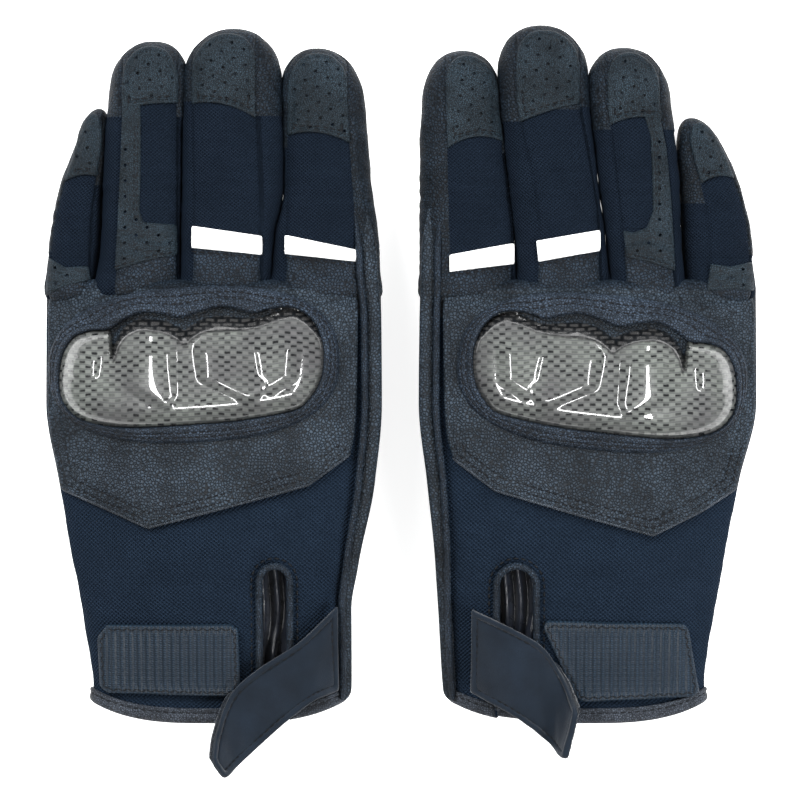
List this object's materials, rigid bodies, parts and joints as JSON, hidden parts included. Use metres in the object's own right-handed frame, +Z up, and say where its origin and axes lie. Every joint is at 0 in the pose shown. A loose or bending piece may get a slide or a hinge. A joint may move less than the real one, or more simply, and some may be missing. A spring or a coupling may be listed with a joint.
{
  "type": "pair of motorcycle riding gloves",
  "caption": "Pair of short-cuff riding gloves lying palm down, with moulded knuckle guards, mesh and perforated fingers, jointed fingers and thumbs, and open wrist straps.",
  "frame": {"origin": "middle of the pair's box, on the surface that the gloves lie on", "axes": "+Y towards the fingertips, +X towards the right glove, +Z up out of the backs of the hands"},
  "size_m": [0.2466, 0.2592, 0.0492],
  "materials": {
    "perforated_leather": "fine round perforations",
    "palm_leather": "soft grain",
    "back_leather": "smooth, semi-matt",
    "finger_mesh": "knitted spacer mesh",
    "wrist_mesh": "knitted spacer mesh",
    "carbon": "plain weave under clear gloss",
    "foam": "closed-cell foam",
    "hook_tape": "ribbed hook tape",
    "lining": "shiny lining cloth",
    "binding": "folded tape, stitched",
    "strap_suede": "napped",
    "loop_pile": "brushed loops"
  },
  "bodies": {
    "left_hand": {"left_back_leather": "back_leather", "left_cuff_binding": "binding", "left_guard_pad": "foam", "left_guard_rim": "back_leather", "left_hook_patch": "hook_tape", "left_knuckle_guard": "carbon", "left_palm": "palm_leather", "left_side_welt": "palm_leather", "left_slit_gusset": "lining", "left_wrist_mesh": "wrist_mesh"},
    "left_index_base": {"left_index_base_back": "finger_mesh", "left_index_base_palm": "palm_leather"},
    "left_index_tip": {"left_index_tip_cap": "perforated_leather", "left_index_tip_palm": "palm_leather"},
    "left_middle_base": {"left_middle_base_back": "finger_mesh", "left_middle_base_palm": "palm_leather"},
    "left_middle_tip": {"left_middle_tip_cap": "perforated_leather", "left_middle_tip_palm": "palm_leather"},
    "left_ring_base": {"left_ring_base_back": "finger_mesh", "left_ring_base_palm": "palm_leather"},
    "left_ring_tip": {"left_ring_tip_cap": "perforated_leather", "left_ring_tip_palm": "palm_leather"},
    "left_little_base": {"left_little_base_back": "finger_mesh", "left_little_base_palm": "palm_leather"},
    "left_little_tip": {"left_little_tip_cap": "perforated_leather", "left_little_tip_palm": "palm_leather"},
    "left_thumb": {"left_thumb_back": "perforated_leather", "left_thumb_palm": "palm_leather"},
    "left_strap": {"left_strap": "strap_suede", "left_strap_loop": "loop_pile"},
    "right_hand": {"right_back_leather": "back_leather", "right_cuff_binding": "binding", "right_guard_pad": "foam", "right_guard_rim": "back_leather", "right_hook_patch": "hook_tape", "right_knuckle_guard": "carbon", "right_palm": "palm_leather", "right_side_welt": "palm_leather", "right_slit_gusset": "lining", "right_wrist_mesh": "wrist_mesh"},
    "right_index_base": {"right_index_base_back": "finger_mesh", "right_index_base_palm": "palm_leather"},
    "right_index_tip": {"right_index_tip_cap": "perforated_leather", "right_index_tip_palm": "palm_leather"},
    "right_middle_base": {"right_middle_base_back": "finger_mesh", "right_middle_base_palm": "palm_leather"},
    "right_middle_tip": {"right_middle_tip_cap": "perforated_leather", "right_middle_tip_palm": "palm_leather"},
    "right_ring_base": {"right_ring_base_back": "finger_mesh", "right_ring_base_palm": "palm_leather"},
    "right_ring_tip": {"right_ring_tip_cap": "perforated_leather", "right_ring_tip_palm": "palm_leather"},
    "right_little_base": {"right_little_base_back": "finger_mesh", "right_little_base_palm": "palm_leather"},
    "right_little_tip": {"right_little_tip_cap": "perforated_leather", "right_little_tip_palm": "palm_leather"},
    "right_thumb": {"right_thumb_back": "perforated_leather", "right_thumb_palm": "palm_leather"},
    "right_strap": {"right_strap": "strap_suede", "right_strap_loop": "loop_pile"}
  },
  "joints": [
    {"name": "right_glove_slide", "type": "slide", "parent": "left_hand", "child": "right_hand", "axis": [1, 0, 0], "range_m": [0, 0.15]},
    {"name": "left_index_knuckle", "type": "hinge", "parent": "left_hand", "child": "left_index_base", "pos_m": [-0.02395, 0.04042, 0.02177], "axis": [-1, 0, 0], "range_deg": [0, 70]},
    {"name": "left_index_middle_joint", "type": "hinge", "parent": "left_index_base", "child": "left_index_tip", "pos_m": [-0.02487, 0.07242, 0.01712], "axis": [-1, 0, 0], "range_deg": [0, 70]},
    {"name": "left_middle_knuckle", "type": "hinge", "parent": "left_hand", "child": "left_middle_base", "pos_m": [-0.05855, 0.04042, 0.02177], "axis": [-1, 0, 0], "range_deg": [0, 70]},
    {"name": "left_middle_middle_joint", "type": "hinge", "parent": "left_middle_base", "child": "left_middle_tip", "pos_m": [-0.05798, 0.07642, 0.0169], "axis": [-1, 0, 0], "range_deg": [0, 70]},
    {"name": "left_ring_knuckle", "type": "hinge", "parent": "left_hand", "child": "left_ring_base", "pos_m": [-0.08785, 0.04042, 0.02053], "axis": [-1, 0, 0], "range_deg": [0, 70]},
    {"name": "left_ring_middle_joint", "type": "hinge", "parent": "left_ring_base", "child": "left_ring_tip", "pos_m": [-0.08777, 0.07442, 0.01606], "axis": [-1, 0, 0], "range_deg": [0, 70]},
    {"name": "left_little_knuckle", "type": "hinge", "parent": "left_hand", "child": "left_little_base", "pos_m": [-0.11205, 0.04042, 0.01566], "axis": [-1, 0, 0], "range_deg": [0, 70]},
    {"name": "left_little_middle_joint", "type": "hinge", "parent": "left_little_base", "child": "left_little_tip", "pos_m": [-0.11099, 0.06442, 0.01289], "axis": [-1, 0, 0], "range_deg": [0, 70]},
    {"name": "left_thumb_fold", "type": "hinge", "parent": "left_hand", "child": "left_thumb", "pos_m": [-0.01675, -0.03258, 0.00617], "axis": [-0.3401, -0.9404, 0], "range_deg": [0, 80]},
    {"name": "left_strap_peel", "type": "hinge", "parent": "left_hand", "child": "left_strap", "pos_m": [-0.02128, -0.0845, 0.02683], "axis": [-0.0067, 0.9667, 0.2559], "range_deg": [0, 125]},
    {"name": "right_index_knuckle", "type": "hinge", "parent": "right_hand", "child": "right_index_base", "pos_m": [0.02405, 0.04042, 0.02177], "axis": [-1, 0, 0], "range_deg": [0, 70]},
    {"name": "right_index_middle_joint", "type": "hinge", "parent": "right_index_base", "child": "right_index_tip", "pos_m": [0.02283, 0.07242, 0.01707], "axis": [-1, 0, 0], "range_deg": [0, 70]},
    {"name": "right_middle_knuckle", "type": "hinge", "parent": "right_hand", "child": "right_middle_base", "pos_m": [0.05785, 0.04042, 0.02177], "axis": [-1, 0, 0], "range_deg": [0, 70]},
    {"name": "right_middle_middle_joint", "type": "hinge", "parent": "right_middle_base", "child": "right_middle_tip", "pos_m": [0.05499, 0.07642, 0.017], "axis": [-1, 0, 0], "range_deg": [0, 70]},
    {"name": "right_ring_knuckle", "type": "hinge", "parent": "right_hand", "child": "right_ring_base", "pos_m": [0.08725, 0.04042, 0.02087], "axis": [-1, 0, 0], "range_deg": [0, 70]},
    {"name": "right_ring_middle_joint", "type": "hinge", "parent": "right_ring_base", "child": "right_ring_tip", "pos_m": [0.08388, 0.07342, 0.01632], "axis": [-1, 0, 0], "range_deg": [0, 70]},
    {"name": "right_little_knuckle", "type": "hinge", "parent": "right_hand", "child": "right_little_base", "pos_m": [0.11265, 0.04042, 0.01579], "axis": [-1, 0, 0], "range_deg": [0, 70]},
    {"name": "right_little_middle_joint", "type": "hinge", "parent": "right_little_base", "child": "right_little_tip", "pos_m": [0.11018, 0.06242, 0.01311], "axis": [-1, 0, 0], "range_deg": [0, 70]},
    {"name": "right_thumb_fold", "type": "hinge", "parent": "right_hand", "child": "right_thumb", "pos_m": [0.01845, -0.03258, 0.00617], "axis": [-0.3401, 0.9404, 0], "range_deg": [0, 80]},
    {"name": "right_strap_peel", "type": "hinge", "parent": "right_hand", "child": "right_strap", "pos_m": [0.02517, -0.08527, 0.02858], "axis": [-0.0066, -0.9653, -0.2609], "range_deg": [0, 125]}
  ]
}
